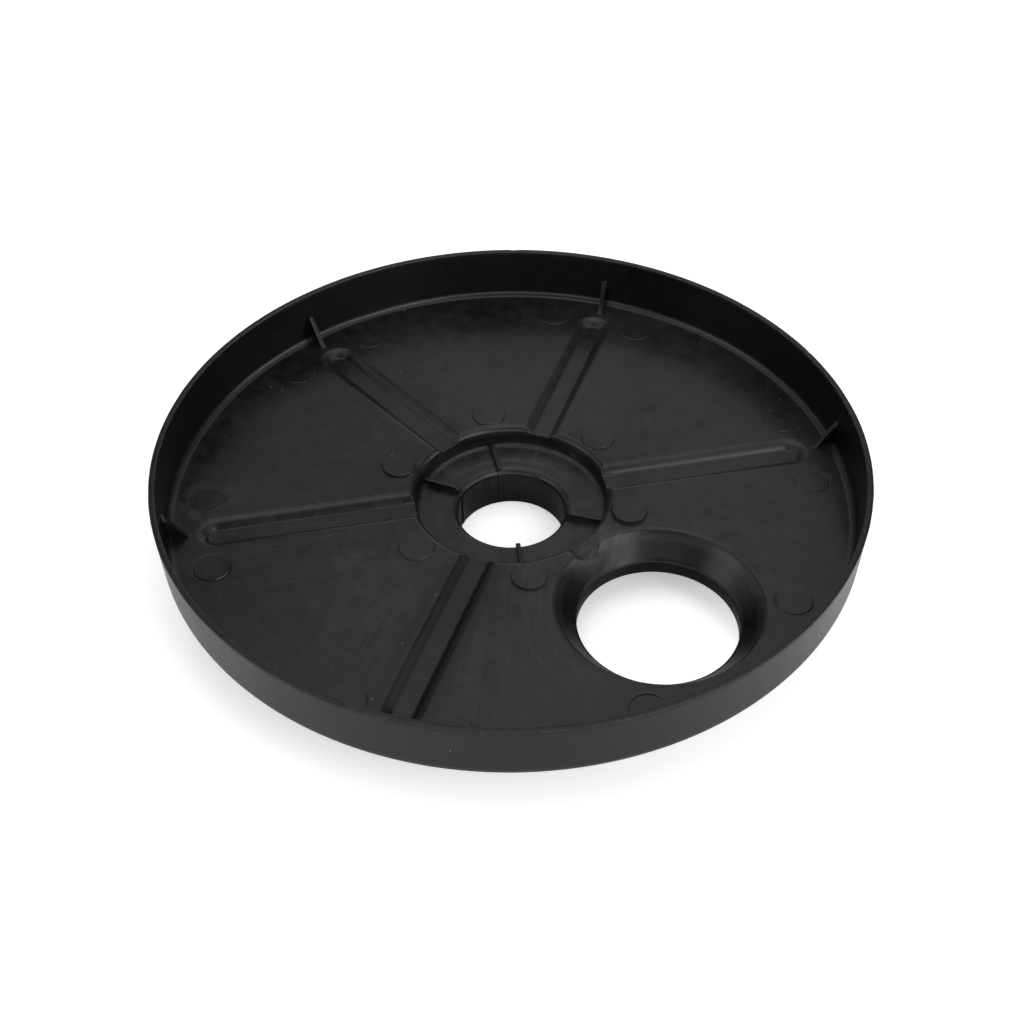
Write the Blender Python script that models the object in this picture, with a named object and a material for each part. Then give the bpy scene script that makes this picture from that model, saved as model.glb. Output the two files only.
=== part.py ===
"""Deck moulding of a 300 mm rotary surface cleaner, lying open side up.

One injection-moulded dish. Its axis is +Z and its lowest face, the end of the hub
collar, lies on z = 0. Lengths are metres. Azimuths are degrees about +Z from +X.
"""

import math

import bmesh
import bpy
from mathutils import Matrix, Vector

# Heights are measured from the inside floor of the dish, which lies at FLOOR_Z.
WALL = 0.0026
COLLAR_END = -0.0283
FLOOR_Z = -COLLAR_END

RIM_RADIUS = 0.150
RIM_HEIGHT = 0.025
RIM_DRAFT = 0.0008
RIM_FILLET = 0.003

HUB_RADIUS = 0.0418
HUB_DRAFT = 0.0008
HUB_EDGE_ROUND = 0.002
MOAT_Z = -0.0100
MOAT_FILLET = 0.001
RING_Z = -0.00907
RING_RADIUS = 0.0313
RING_STEP = 0.0009
BORE_RADIUS = 0.0233
BORE_EDGE_ROUND = 0.0025
COLLAR_WALL = 0.0028
OUTER_EDGE_ROUND = 0.0015

FLUTE_AZIMUTH = 10.94
FLUTE_PITCH = 60.0
FLUTE_COUNT = 6
FLUTE_DEPTH = 0.0030
FLUTE_HALF_TOP = 0.0086
FLUTE_HALF_BOTTOM = 0.0041
FLUTE_START = 0.036
FLUTE_END_CENTRE = 0.1256
RIDGE_START = 0.0424
RIDGE_HALF_BOTTOM = 0.0056
SHORT_FLUTE = 5
SHORT_FLUTE_END = 0.0520
SHORT_RIDGE_END = 0.0480
SUNK_PIN_FLUTE = 4

SUCTION_DISTANCE = 0.0889
SUCTION_AZIMUTH = 311.45
CONE_TOP_RADIUS = 0.0420
CONE_FOOT_RADIUS = 0.0338
CONE_FOOT_Z = -0.0105
CONE_EDGE_ROUND = 0.0020
LEDGE_DROP = 0.0006
SUCTION_RADIUS = 0.0329
SUCTION_END_Z = -0.0168

GUSSET_HEIGHT = 0.0135
GUSSET_REACH = 0.0090
GUSSET_THICKNESS = 0.0020

HUB_RIB_AZIMUTHS = (102.4, 157.5, 276.3, 343.5)
HUB_RIB_THICKNESS = 0.0018
HUB_RIB_TOP = -0.0066
HUB_RIB_INNER = 0.0242
HUB_RIB_NOSE = 0.0028
KEY_WIDTH = 0.0012
KEY_PROUD = 0.0005
KEY_END_GAP = 0.0010

PIN_RADIUS = 0.0074
INNER_PIN_CIRCLE = 0.0522
OUTER_PIN_CIRCLE = 0.1306
INNER_PIN_HEIGHTS = {
    40.94: 0.0005,
    100.94: 0.0005,
    160.94: 0.0007,
    220.94: 0.0004,
    277.80: 0.0007,
    344.10: 0.0016,
}
OUTER_PIN_SPREAD = 9.18
OUTER_PIN_SPREAD_AT_HOLE = 18.36
OUTER_PIN_HEIGHT = 0.0004
SUNK_PIN_DEPTH = 0.0006

TURNED_STEPS = 88
SUCTION_STEPS = 60
PIN_STEPS = 24
ARC_STEPS = 3
BEND_STEPS = 5
SMALL_ARC_STEPS = 2
SINK = 0.0008
CUT_CLEAR = 0.004


def clear_scene():
    """Removes every object that is already in the scene."""
    for obj in list(bpy.data.objects):
        bpy.data.objects.remove(obj, do_unlink=True)


def plastic():
    """Semi-gloss black injection-moulded plastic."""
    material = bpy.data.materials.new("black_plastic")
    material.use_nodes = True
    shader = material.node_tree.nodes["Principled BSDF"]
    shader.inputs["Base Color"].default_value = (0.022, 0.022, 0.024, 1.0)
    shader.inputs["Roughness"].default_value = 0.42
    shader.inputs["Metallic"].default_value = 0.0
    return material


def arc(centre, radius, start, end, steps=ARC_STEPS):
    """Points of an arc in the (radius, height) plane, from start to end in degrees."""
    points = []
    for i in range(steps + 1):
        angle = math.radians(start + (end - start) * i / steps)
        points.append((centre[0] + radius * math.cos(angle), centre[1] + radius * math.sin(angle)))
    return points


def dish_profile():
    """Closed section of the dish, down its outside and back up its inside."""
    bend = (RIM_RADIUS - RIM_DRAFT - WALL - RIM_FILLET, RIM_FILLET)
    inner_rim = RIM_RADIUS - WALL
    moat_wall = HUB_RADIUS - HUB_DRAFT
    pot_radius = HUB_RADIUS + WALL - HUB_DRAFT
    pot_z = MOAT_Z - WALL
    collar_radius = BORE_RADIUS + COLLAR_WALL
    edge = OUTER_EDGE_ROUND
    points = [(RIM_RADIUS, RIM_HEIGHT)]
    points += arc(bend, RIM_FILLET + WALL, 0, -90, BEND_STEPS)
    points += arc((pot_radius + edge, -WALL - edge), edge, 90, 180, SMALL_ARC_STEPS)
    points += arc((pot_radius - edge, pot_z + edge), edge, 0, -90, SMALL_ARC_STEPS)
    points += arc((collar_radius + edge, pot_z - edge), edge, 90, 180, SMALL_ARC_STEPS)
    points += [(collar_radius, COLLAR_END), (BORE_RADIUS, COLLAR_END)]
    points += arc((BORE_RADIUS + BORE_EDGE_ROUND, RING_Z - BORE_EDGE_ROUND), BORE_EDGE_ROUND, 180, 90)
    points += [(RING_RADIUS, RING_Z), (RING_RADIUS + RING_STEP, MOAT_Z)]
    points += arc((moat_wall - MOAT_FILLET, MOAT_Z + MOAT_FILLET), MOAT_FILLET, -90, 0, SMALL_ARC_STEPS)
    points += arc((HUB_RADIUS + HUB_EDGE_ROUND, -HUB_EDGE_ROUND), HUB_EDGE_ROUND, 180, 90)
    points += arc(bend, RIM_FILLET, -90, 0)
    points += [(inner_rim, RIM_HEIGHT)]
    return points


def turned(name, profile, steps):
    """Ring turned about the object's own Z axis from a closed profile."""
    mesh = bpy.data.meshes.new(name)
    vertices = [(radius, 0.0, height) for radius, height in profile]
    edges = [(i, (i + 1) % len(profile)) for i in range(len(profile))]
    mesh.from_pydata(vertices, edges, [])
    obj = bpy.data.objects.new(name, mesh)
    bpy.context.scene.collection.objects.link(obj)
    screw = obj.modifiers.new("turn", "SCREW")
    screw.angle = math.tau
    screw.steps = steps
    screw.render_steps = steps
    screw.use_smooth_shade = True
    screw.use_merge_vertices = True
    screw.merge_threshold = 0.00002
    return obj


def revolved_solid(shape, profile, steps, centre):
    """Adds to bmesh `shape` a solid of revolution whose open profile ends are capped flat."""
    rings = []
    for radius, height in profile:
        ring = []
        for i in range(steps):
            angle = math.tau * i / steps
            x = centre[0] + radius * math.cos(angle)
            y = centre[1] + radius * math.sin(angle)
            ring.append(shape.verts.new((x, y, height)))
        rings.append(ring)
    for upper, lower in zip(rings, rings[1:]):
        for i in range(steps):
            j = (i + 1) % steps
            shape.faces.new((upper[i], lower[i], lower[j], upper[j]))
    shape.faces.new(rings[0])
    shape.faces.new(reversed(rings[-1]))


def stadium(start, end_centre, half, height, square_end):
    """Outline of a channel along +X: a flat start and a round or flat far end."""
    points = [(start, half, height), (start, -half, height)]
    if square_end:
        return points + [(end_centre, -half, height), (end_centre, half, height)]
    steps = 12
    for i in range(steps + 1):
        angle = math.radians(-90 + 180 * i / steps)
        points.append((end_centre + half * math.cos(angle), half * math.sin(angle), height))
    return points


def loft(shape, outlines, azimuth):
    """Adds to bmesh `shape` the solid through matching outlines, turned to its azimuth."""
    turn = Matrix.Rotation(math.radians(azimuth), 4, "Z")
    loops = []
    for outline in outlines:
        loops.append([shape.verts.new(turn @ Vector(point)) for point in outline])
    count = len(loops[0])
    for low, high in zip(loops, loops[1:]):
        for i in range(count):
            j = (i + 1) % count
            shape.faces.new((low[i], low[j], high[j], high[i]))
    shape.faces.new(reversed(loops[0]))
    shape.faces.new(loops[-1])


def helper(name, shape):
    """Hidden operand for a Boolean."""
    bmesh.ops.recalc_face_normals(shape, faces=shape.faces)
    mesh = bpy.data.meshes.new(name)
    shape.to_mesh(mesh)
    shape.free()
    obj = bpy.data.objects.new(name, mesh)
    bpy.context.scene.collection.objects.link(obj)
    obj.hide_render = True
    obj.display_type = "WIRE"
    obj.hide_set(True)
    return obj


def flute_azimuths():
    """Azimuths of the radial channels, in degrees."""
    return [FLUTE_AZIMUTH + FLUTE_PITCH * i for i in range(FLUTE_COUNT)]


def channel(shape, azimuth, span, levels, square_end):
    """Adds one channel or ridge with sloping sides through its (half width, height) levels."""
    start, far = span
    outlines = [stadium(start, far, half, height, square_end) for half, height in levels]
    loft(shape, outlines, azimuth)


def flute_slope():
    """Half width that a channel's side gains for each metre of height."""
    return (FLUTE_HALF_TOP - FLUTE_HALF_BOTTOM) / FLUTE_DEPTH


def flute_channels():
    """Shallow channels with sloping sides, sunk into the inside floor."""
    half_above = FLUTE_HALF_TOP + flute_slope() * SINK
    levels = [(FLUTE_HALF_BOTTOM, -FLUTE_DEPTH), (half_above, SINK)]
    shape = bmesh.new()
    for index, azimuth in enumerate(flute_azimuths()):
        short = index == SHORT_FLUTE
        far = SHORT_FLUTE_END if short else FLUTE_END_CENTRE
        channel(shape, azimuth, (FLUTE_START, far), levels, short)
    return helper("flute_channels", shape)


def flute_ridges():
    """Ridges on the underside that keep the wall whole below each channel."""
    foot = -WALL - FLUTE_DEPTH
    root = -WALL / 2
    half_root = RIDGE_HALF_BOTTOM + flute_slope() * (root - foot)
    levels = [(RIDGE_HALF_BOTTOM, foot), (half_root, root)]
    shape = bmesh.new()
    for index, azimuth in enumerate(flute_azimuths()):
        short = index == SHORT_FLUTE
        far = SHORT_RIDGE_END if short else FLUTE_END_CENTRE
        channel(shape, azimuth, (RIDGE_START, far), levels, short)
    return helper("flute_ridges", shape)


def suction_centre():
    angle = math.radians(SUCTION_AZIMUTH)
    return (SUCTION_DISTANCE * math.cos(angle), SUCTION_DISTANCE * math.sin(angle))


def cone_slope():
    """Radius that the socket's taper gains for each metre of height."""
    return (CONE_TOP_RADIUS - CONE_FOOT_RADIUS) / -CONE_FOOT_Z


def suction_shell():
    """Outside of the tapered socket that hangs below the floor."""
    slope = cone_slope()
    shift = WALL * math.hypot(1.0, slope)
    root = -WALL / 2
    outer = SUCTION_RADIUS + WALL
    shoulder = (outer - CONE_TOP_RADIUS - shift) / slope
    profile = [(CONE_TOP_RADIUS + shift + slope * root, root), (outer, shoulder)]
    profile += [(outer, SUCTION_END_Z)]
    shape = bmesh.new()
    revolved_solid(shape, profile, SUCTION_STEPS, suction_centre())
    return helper("suction_shell", shape)


def suction_void():
    """Tapered mouth and straight bore cut through the floor."""
    turn = 90 - math.degrees(math.atan(cone_slope()))
    edge = CONE_EDGE_ROUND
    brim = CONE_TOP_RADIUS + edge * math.tan(math.radians(turn / 2))
    profile = [(brim, CUT_CLEAR)]
    profile += arc((brim, -edge), edge, 90, 90 + turn)
    profile += [(CONE_FOOT_RADIUS, CONE_FOOT_Z), (SUCTION_RADIUS, CONE_FOOT_Z - LEDGE_DROP)]
    profile += [(SUCTION_RADIUS, SUCTION_END_Z - CUT_CLEAR)]
    shape = bmesh.new()
    revolved_solid(shape, profile, SUCTION_STEPS, suction_centre())
    return helper("suction_void", shape)


def plate(shape, outline, thickness, azimuth):
    """Adds to bmesh `shape` a plate whose (radius, height) outline stands at an azimuth."""
    sides = [[(x, half, z) for x, z in outline] for half in (-thickness / 2, thickness / 2)]
    loft(shape, sides, azimuth)


def webs():
    """Triangular gussets inside the rim and four low ribs across the hub recess."""
    shape = bmesh.new()
    wall = RIM_RADIUS - RIM_DRAFT - WALL
    root = wall + WALL / 2
    gusset = [
        (wall - GUSSET_REACH, -SINK),
        (wall - RIM_FILLET + SINK, -SINK),
        (root, RIM_FILLET),
        (root, GUSSET_HEIGHT),
        (wall - SINK / 4, GUSSET_HEIGHT),
        (wall - GUSSET_REACH, SINK / 2),
    ]
    for azimuth in flute_azimuths():
        plate(shape, gusset, GUSSET_THICKNESS, azimuth)
    nose = (HUB_RIB_INNER + HUB_RIB_NOSE, HUB_RIB_TOP - HUB_RIB_NOSE)
    rib = arc(nose, HUB_RIB_NOSE, 90, 180)
    rib += [(HUB_RIB_INNER, RING_Z - BORE_EDGE_ROUND - SINK)]
    rib += [(HUB_RADIUS + WALL / 4, MOAT_Z - WALL / 2), (HUB_RADIUS + WALL / 4, HUB_RIB_TOP)]
    for azimuth in HUB_RIB_AZIMUTHS:
        plate(shape, rib, HUB_RIB_THICKNESS, azimuth)
    return helper("webs", shape)


def pin_places():
    """Azimuth, circle radius and height of every round ejector-pin mark."""
    places = [(azimuth, INNER_PIN_CIRCLE, height) for azimuth, height in INNER_PIN_HEIGHTS.items()]
    for index, azimuth in enumerate(flute_azimuths()):
        spread = OUTER_PIN_SPREAD_AT_HOLE if index == SHORT_FLUTE else OUTER_PIN_SPREAD
        for side in (-1, 1):
            sunk = index == SUNK_PIN_FLUTE or (index == SHORT_FLUTE and side < 0)
            height = -SUNK_PIN_DEPTH if sunk else OUTER_PIN_HEIGHT
            places.append((azimuth + side * spread, OUTER_PIN_CIRCLE, height))
    return places


def pin_disc(shape, azimuth, circle, low, high):
    """Adds one round ejector-pin mark between two heights."""
    angle = math.radians(azimuth)
    centre = (circle * math.cos(angle), circle * math.sin(angle))
    revolved_solid(shape, [(PIN_RADIUS, high), (PIN_RADIUS, low)], PIN_STEPS, centre)


def raised_details():
    """Ejector-pin marks that stand proud, and the slim keys down the bore."""
    shape = bmesh.new()
    for azimuth, circle, height in pin_places():
        if height > 0:
            pin_disc(shape, azimuth, circle, -SINK, height)
    key_foot = COLLAR_END + KEY_END_GAP
    key = [
        (BORE_RADIUS - KEY_PROUD, key_foot),
        (BORE_RADIUS + SINK, key_foot),
        (HUB_RIB_INNER + KEY_PROUD, RING_Z - BORE_EDGE_ROUND),
        (HUB_RIB_INNER + KEY_PROUD, RING_Z),
        (HUB_RIB_INNER - KEY_PROUD, RING_Z - SINK),
        (BORE_RADIUS - KEY_PROUD, RING_Z - BORE_EDGE_ROUND),
    ]
    for azimuth in HUB_RIB_AZIMUTHS:
        plate(shape, key, KEY_WIDTH, azimuth)
    return helper("raised_details", shape)


def sunk_pins():
    """Ejector-pin marks that lie below the floor."""
    shape = bmesh.new()
    for azimuth, circle, height in pin_places():
        if height < 0:
            pin_disc(shape, azimuth, circle, height, CUT_CLEAR)
    return helper("sunk_pins", shape)


def combine(body, operand, operation):
    """Adds or cuts a hidden operand with an exact Boolean."""
    boolean = body.modifiers.new(operand.name, "BOOLEAN")
    boolean.operation = operation
    boolean.solver = "EXACT"
    boolean.object = operand
    operand.parent = body


def deck_moulding():
    """The whole moulding: a turned dish with everything moulded into it."""
    body = turned("deck_moulding", dish_profile(), TURNED_STEPS)
    body.data.materials.append(plastic())
    combine(body, flute_ridges(), "UNION")
    combine(body, suction_shell(), "UNION")
    combine(body, suction_void(), "DIFFERENCE")
    combine(body, flute_channels(), "DIFFERENCE")
    combine(body, webs(), "UNION")
    combine(body, raised_details(), "UNION")
    combine(body, sunk_pins(), "DIFFERENCE")
    body.location.z = FLOOR_Z
    return body


clear_scene()
deck_moulding()
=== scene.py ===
import math
from collections import namedtuple
from math import radians

import bmesh
import bpy
import numpy as np
from mathutils import Matrix, Vector
from mathutils.geometry import delaunay_2d_cdt


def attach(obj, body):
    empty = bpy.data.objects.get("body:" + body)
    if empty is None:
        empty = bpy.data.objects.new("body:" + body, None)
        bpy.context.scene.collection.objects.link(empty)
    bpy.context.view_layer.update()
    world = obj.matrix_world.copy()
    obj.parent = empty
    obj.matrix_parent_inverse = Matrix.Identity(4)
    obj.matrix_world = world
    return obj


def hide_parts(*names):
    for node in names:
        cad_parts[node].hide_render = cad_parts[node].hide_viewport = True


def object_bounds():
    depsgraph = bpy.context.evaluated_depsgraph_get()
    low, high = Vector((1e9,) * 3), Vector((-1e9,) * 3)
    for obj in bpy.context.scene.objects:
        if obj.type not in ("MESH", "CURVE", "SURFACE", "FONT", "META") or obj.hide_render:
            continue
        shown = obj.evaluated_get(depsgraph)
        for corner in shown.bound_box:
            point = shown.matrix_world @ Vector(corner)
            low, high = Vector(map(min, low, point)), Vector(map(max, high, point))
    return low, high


NODE = "deck_moulding"
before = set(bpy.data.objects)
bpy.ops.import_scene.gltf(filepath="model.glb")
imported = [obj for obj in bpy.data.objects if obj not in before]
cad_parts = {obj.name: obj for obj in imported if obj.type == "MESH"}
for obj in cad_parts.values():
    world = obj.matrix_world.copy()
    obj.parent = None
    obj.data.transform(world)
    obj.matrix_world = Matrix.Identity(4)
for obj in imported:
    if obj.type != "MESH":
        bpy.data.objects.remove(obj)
CAD_LOW, CAD_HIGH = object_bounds()

# All shape work below is in millimetres, with heights measured from the inside floor.
# Azimuths are degrees about +Z from +X.
MM = 0.001
FLOOR_UP = 28.3
RIM_R = (CAD_HIGH[0] - CAD_LOW[0]) / 2 / MM
LIP_Z = (CAD_HIGH[2] - CAD_LOW[2]) / MM - FLOOR_UP
WALL = 2.6
RIM_DRAFT = 0.8
RIM_FILLET = 3.0
LIP_EDGE = 0.45
FILLET_R = RIM_R - RIM_DRAFT - WALL - RIM_FILLET

HUB_R = 41.8
HUB_DRAFT = 0.8
HUB_ROUND = 3.6
HUB_ROUND_DEEP = 3.0
MOAT_Z = -9.55
RING_Z = -9.6
MOAT_ROUND = 2.0
RING_R = 31.3
BORE_R = 23.3
BORE_ROUND = 3.4
COLLAR_WALL = 2.8
COLLAR_Z = -FLOOR_UP
POT_ROUND = 1.5

FLUTE_AZ = 10.94
FLUTES = [FLUTE_AZ + 60.0 * i for i in range(6)]
FLUTE_DEPTH = 3.0
FLUTE_TOP = 9.2
FLUTE_FOOT = 4.0
FLUTE_FROM = 36.0
FLUTE_TO = 125.6
SHORT_FLUTE = 5
SHORT_TO = 49.0
SHORT_SHIFT = 0.7
RIDGE_TOP = 10.8
RIDGE_FOOT = 6.0
RIDGE_EDGE = 0.5
RIDGE_CORNER = 0.6
FOOT_CORNER = 0.4
UNDER_WAVES = 0.7

SUCTION_AT = 88.9
SUCTION_AZ = 311.45
SUCTION_X = SUCTION_AT * math.cos(radians(SUCTION_AZ))
SUCTION_Y = SUCTION_AT * math.sin(radians(SUCTION_AZ))
CONE_R = 42.0
CONE_FOOT_R = 33.8
CONE_FOOT_Z = -10.5
CONE_RISE = -CONE_FOOT_Z / (CONE_R - CONE_FOOT_R)
CONE_CORNER = 1.6
CONE_OUT = CONE_R + WALL * math.hypot(1.0, 1.0 / CONE_RISE)
SUCTION_R = 32.9
SUCTION_Z = -16.8
SUCTION_OUT = SUCTION_R + WALL

# Middle of a pale, blotchy patch on the suction taper, about the socket's own centre: a painted
# highlight, rougher where scuffed.
HIGHLIT_SCUFF_AZ = 122.0
HIGHLIT_SCUFF_R = 38.0
HIGHLIT_SCUFF_Z = -5.0

PIN_R = 7.4
PIN_EDGE = 0.26
PIN_GROOVE = 0.09
PIN_FULL_GROOVE = 0.35
PIN_BURR = 0.05
BURR_WIDTH = 0.20
PIN_TURN = 9.18
INNER_PINS = 52.2
OUTER_PINS = 130.6
# An ejector mark's place, its height, how much it leans and the azimuth that it rises towards.
Pin = namedtuple("Pin", "azimuth circle height lean towards")
PINS = [
    Pin(FLUTES[0] + 30.0, INNER_PINS, 0.54, 0.10, 200.0),
    Pin(FLUTES[1] + 30.0, INNER_PINS, 0.52, 0.16, 250.0),
    Pin(FLUTES[2] + 30.0, INNER_PINS, 0.72, 0.12, 230.0),
    Pin(FLUTES[3] + 30.0, INNER_PINS, 0.50, 0.10, 120.0),
    Pin(277.80, INNER_PINS, 0.80, 0.12, 200.0),
    Pin(344.10, INNER_PINS, 1.45, 0.20, 210.0),
]
for flute, before, after in ((0, 0.24, 0.20), (1, 0.12, 0.12), (2, 0.10, 0.04), (3, 0.16, 0.34)):
    for side, height in ((-PIN_TURN, before), (PIN_TURN, after)):
        PINS.append(Pin(FLUTES[flute] + side, OUTER_PINS, height, 0.14, FLUTES[flute] + 180.0))
PINS += [
    Pin(FLUTES[4] - PIN_TURN, OUTER_PINS, 0.36, 0.10, 80.0),
    Pin(FLUTES[4] + PIN_TURN, OUTER_PINS, 0.36, 0.10, 80.0),
    Pin(FLUTES[5] - 2 * PIN_TURN, OUTER_PINS, -0.45, 0.12, 300.0),
    Pin(FLUTES[5] + 2 * PIN_TURN, OUTER_PINS, 0.34, 0.12, 150.0),
]

GUSSET_Z = 13.5
GUSSET_REACH = 9.0
GUSSET_THICK = 2.0
HUB_RIBS = (102.4, 157.5, 276.3, 343.5)
RIB_THICK = 1.8
RIB_TOP = -6.6
RIB_INNER = 24.2
RIB_NOSE = 2.8
KEY_WIDTH = 1.2
KEY_PROUD = 0.5

# Small pale chips: azimuth, radius, height above the floor, size.
FLECKS = (
    (243.6, 68.4, 0.0, 0.9),
    (247.8, 53.9, -1.5, 0.6),
    (243.9, 96.8, 0.0, 0.7),
    (245.2, 125.9, 0.0, 1.0),
    (74.0, 23.3, -10.8, 0.7),
    (48.0, 41.0, -6.3, 1.1),
    (45.5, 41.0, -6.7, 0.9),
    (121.7, 99.3, 0.0, 0.8),
    (137.9, 81.5, 0.0, 0.6),
    (146.4, 128.1, 0.0, 0.8),
    (146.8, 134.2, 0.0, 0.8),
)

# Points round each kind of ring, and how far out the mesh rows of a feature reach in plan.
RIM_STEPS = 600
HUB_STEPS = 360
CONE_STEPS = 300
ROWS_FROM = 38.0
PIN_ROWS = 9.6
PIN_CLEAR = 10.2
CONE_ROWS = 44.9


def smooth_min(a, b, k):
    """The lower of two heights, with a soft corner of size k where they cross."""
    h = np.clip(0.5 + 0.5 * (b - a) / k, 0, 1)
    return b * (1 - h) + a * h - k * h * (1 - h)


def smooth_max(a, b, k):
    """The higher of two heights, with a soft corner of size k where they cross."""
    return -smooth_min(-a, -b, k)


def smooth_step(t):
    """0 up to t = 0, 1 from t = 1, and a soft slope between."""
    t = np.clip(t, 0, 1)
    return t * t * (3 - 2 * t)


def flute_distance(x, y, index):
    """Distance in plan from a flute's centre line."""
    turn = radians(FLUTES[index])
    along = x * math.cos(turn) + y * math.sin(turn)
    across = y * math.cos(turn) - x * math.sin(turn)
    to = FLUTE_TO
    if index == SHORT_FLUTE:
        across = across - SHORT_SHIFT
        to = SHORT_TO
    past = np.clip(along, FLUTE_FROM, to) - along
    return np.hypot(past, across)


def waves(x, y):
    """Shallow sink and flow undulations that a moulded floor has, in mm."""
    total = np.zeros_like(x)
    for size, long, turn, phase in (
        (0.034, 97.0, 20, 0.4),
        (0.026, 61.0, 112, 1.9),
        (0.018, 43.0, 67, 4.1),
        (0.011, 29.0, 158, 2.6),
        (0.008, 21.0, 35, 5.2),
    ):
        along = x * math.cos(radians(turn)) + y * math.sin(radians(turn))
        total += size * np.sin(math.tau * along / long + phase)
    return total


def from_socket(x, y):
    """Distance in plan from the suction socket's centre."""
    return np.hypot(x - SUCTION_X, y - SUCTION_Y)


def from_pin(pin, x, y):
    """Offsets in plan from the centre of an ejector mark."""
    turn = radians(pin.azimuth)
    return x - pin.circle * math.cos(turn), y - pin.circle * math.sin(turn)


def pin_steps(x, y):
    """Height that the round ejector marks add to the floor."""
    total = np.zeros_like(x)
    for pin in PINS:
        dx, dy = from_pin(pin, x, y)
        away = np.hypot(dx, dy)
        inside = smooth_step((PIN_R + PIN_EDGE / 2 - away) / PIN_EDGE)
        groove = PIN_GROOVE * min(1.0, abs(pin.height) / PIN_FULL_GROOVE)
        total -= groove * np.exp(-(((away - PIN_R - PIN_EDGE) / PIN_EDGE) ** 2))
        total += PIN_BURR * np.exp(-(((away - PIN_R + BURR_WIDTH) / BURR_WIDTH) ** 2))
        rise = radians(pin.towards)
        tilt = (dx * math.cos(rise) + dy * math.sin(rise)) / PIN_R
        total += inside * (pin.height + min(pin.lean, abs(pin.height)) * tilt)
    return total


def inside_height(x, y):
    """Height of the inside floor, with its flutes, ejector marks and the suction taper."""
    height = waves(x, y)
    for index in range(len(FLUTES)):
        away = flute_distance(x, y, index)
        share = np.clip(FLUTE_TOP - away, 0, None) / (FLUTE_TOP - FLUTE_FOOT)
        height = height + smooth_max(-FLUTE_DEPTH * share**2, -FLUTE_DEPTH, FOOT_CORNER)
    height = height + pin_steps(x, y)
    return smooth_min(height, (from_socket(x, y) - CONE_R) * CONE_RISE, CONE_CORNER)


def under_height(x, y):
    """Height of the underside, with the ridges below the flutes and the socket's taper."""
    height = waves(x, y) * UNDER_WAVES - WALL
    slope = FLUTE_DEPTH / (RIDGE_TOP - RIDGE_FOOT)
    for index in range(len(FLUTES)):
        side = slope * (flute_distance(x, y, index) - RIDGE_TOP) - WALL
        height = smooth_min(height, smooth_max(side, -WALL - FLUTE_DEPTH, RIDGE_EDGE), RIDGE_CORNER)
    return smooth_min(height, (from_socket(x, y) - CONE_OUT) * CONE_RISE, CONE_CORNER)


def circle(radius, steps, centre=(0.0, 0.0)):
    """Plan coordinates of evenly spaced points on a circle."""
    angles = np.arange(steps) * math.tau / steps
    return centre[0] + radius * np.cos(angles), centre[1] + radius * np.sin(angles)


class Shell:
    """Collects rings, bands and triangulated floors, and welds them where they meet."""

    def __init__(self):
        self.points = []
        self.faces = []
        self.count = 0

    def add(self, points):
        """Keeps new points and gives their numbers."""
        points = np.asarray(points, float)
        start = self.count
        self.points.append(points)
        self.count += len(points)
        return np.arange(start, self.count)

    def bands(self, rings):
        """Quads between neighbouring closed rings, each an array of points."""
        rows = [self.add(ring) for ring in rings]
        for a, b in zip(rows, rows[1:]):
            self.faces.append(np.stack([a, np.roll(a, -1), np.roll(b, -1), b], 1))

    def floor(self, outer, holes, inner_points, height):
        """Triangles over a round region with round holes, at heights from a function."""
        loops = [outer] + holes
        flat = [np.stack(circle(*loop), 1) for loop in loops]
        edges = []
        start = 0
        for loop in flat:
            n = len(loop)
            edges += [(start + i, start + (i + 1) % n) for i in range(n)]
            start += n
        spots = np.concatenate(flat + [inner_points])
        made = delaunay_2d_cdt([Vector(p) for p in spots], edges, [], 0, 1e-6, False)
        at = np.array([tuple(v) for v in made[0]])
        tris = np.array([f for f in made[2] if len(f) == 3])
        keep = np.ones(len(tris), bool)
        for radius, _steps, centre in holes:
            off_ring = np.abs(np.hypot(at[:, 0] - centre[0], at[:, 1] - centre[1]) - radius) > 1e-4
            keep &= off_ring[tris].any(1)
        ids = self.add(np.column_stack([at, height(at[:, 0], at[:, 1])]))
        self.faces.append(ids[tris[keep]])

    def mesh(self, name):
        """One welded mesh of all that was added, in metres in the frame."""
        points = np.concatenate(self.points) * MM
        points[:, 2] += FLOOR_UP * MM + CAD_LOW[2]
        faces = [tuple(f) for group in self.faces for f in group.tolist()]
        data = bpy.data.meshes.new(name)
        data.from_pydata(points.tolist(), [], faces)
        shape = bmesh.new()
        shape.from_mesh(data)
        bmesh.ops.remove_doubles(shape, verts=shape.verts, dist=2e-6)
        loose = [v for v in shape.verts if not v.link_faces]
        bmesh.ops.delete(shape, geom=loose, context="VERTS")
        bmesh.ops.recalc_face_normals(shape, faces=shape.faces)
        shape.to_mesh(data)
        shape.free()
        return data


def inner_region(points, lowest, highest, hole_gap):
    """The points that lie inside the floor's own region."""
    r = np.hypot(points[:, 0], points[:, 1])
    return points[(r > lowest) & (r < highest) & (from_socket(*points.T) > hole_gap)]


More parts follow.
